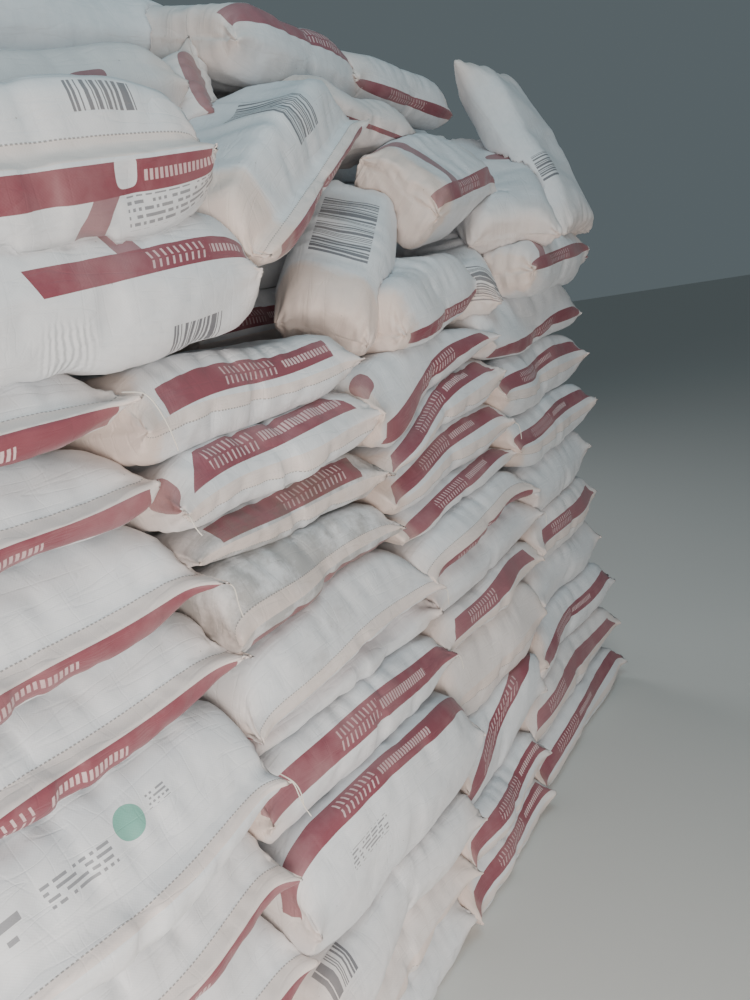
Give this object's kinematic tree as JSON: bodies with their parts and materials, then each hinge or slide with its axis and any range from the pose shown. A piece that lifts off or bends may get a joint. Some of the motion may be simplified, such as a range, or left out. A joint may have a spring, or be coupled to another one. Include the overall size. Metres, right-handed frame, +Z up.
{
  "type": "stack of flour sacks",
  "caption": "Tall stack of filled woven flour sacks laid lengthwise in even courses, two rows deep, with looser sacks heaped across the top.",
  "frame": {"origin": "middle of the stack's box at floor level", "axes": "+X along the stack from its near end to its far end, +Y from the aisle face to the back, +Z up"},
  "size_m": [2.8218, 0.9772, 2.4464],
  "materials": {
    "woven_sack": "white woven polypropylene cloth with crimson print, dusted with flour"
  },
  "bodies": {
    "root": {"bay_1_course_01": "woven_sack", "bay_1_course_02": "woven_sack", "bay_1_course_03": "woven_sack", "bay_1_course_04": "woven_sack", "bay_1_course_05": "woven_sack", "bay_1_course_06": "woven_sack", "bay_1_course_07": "woven_sack", "bay_1_course_08": "woven_sack", "bay_1_course_09": "woven_sack", "bay_2_course_01": "woven_sack", "bay_2_course_02": "woven_sack", "bay_2_course_03": "woven_sack", "bay_2_course_04": "woven_sack", "bay_2_course_05": "woven_sack", "bay_2_course_06": "woven_sack", "bay_2_course_07": "woven_sack", "bay_2_course_08": "woven_sack", "bay_2_course_09": "woven_sack", "bay_2_course_10": "woven_sack", "bay_2_course_11": "woven_sack", "bay_3_course_01": "woven_sack", "bay_3_course_02": "woven_sack", "bay_3_course_03": "woven_sack", "bay_3_course_04": "woven_sack", "bay_3_course_05": "woven_sack", "bay_3_course_06": "woven_sack", "bay_3_course_07": "woven_sack", "bay_3_course_08": "woven_sack", "bay_3_course_09": "woven_sack", "bay_3_course_10": "woven_sack", "bay_3_course_11": "woven_sack", "bay_4_course_01": "woven_sack", "bay_4_course_02": "woven_sack", "bay_4_course_03": "woven_sack", "bay_4_course_04": "woven_sack", "bay_4_course_05": "woven_sack", "bay_4_course_06": "woven_sack", "bay_4_course_07": "woven_sack", "bay_4_course_08": "woven_sack", "bay_4_course_09": "woven_sack", "loose_sack_01": "woven_sack", "loose_sack_02": "woven_sack", "loose_sack_03": "woven_sack", "loose_sack_04": "woven_sack", "loose_sack_05": "woven_sack", "loose_sack_06": "woven_sack", "loose_sack_07": "woven_sack", "loose_sack_08": "woven_sack", "loose_sack_09": "woven_sack", "loose_sack_10": "woven_sack", "loose_sack_11": "woven_sack", "loose_sack_12": "woven_sack", "loose_sack_13": "woven_sack", "loose_sack_14": "woven_sack", "loose_sack_15": "woven_sack", "loose_sack_16": "woven_sack", "loose_sack_17": "woven_sack", "upper_course_1": "woven_sack", "upper_course_2": "woven_sack", "upper_course_3": "woven_sack"}
  },
  "joints": []
}
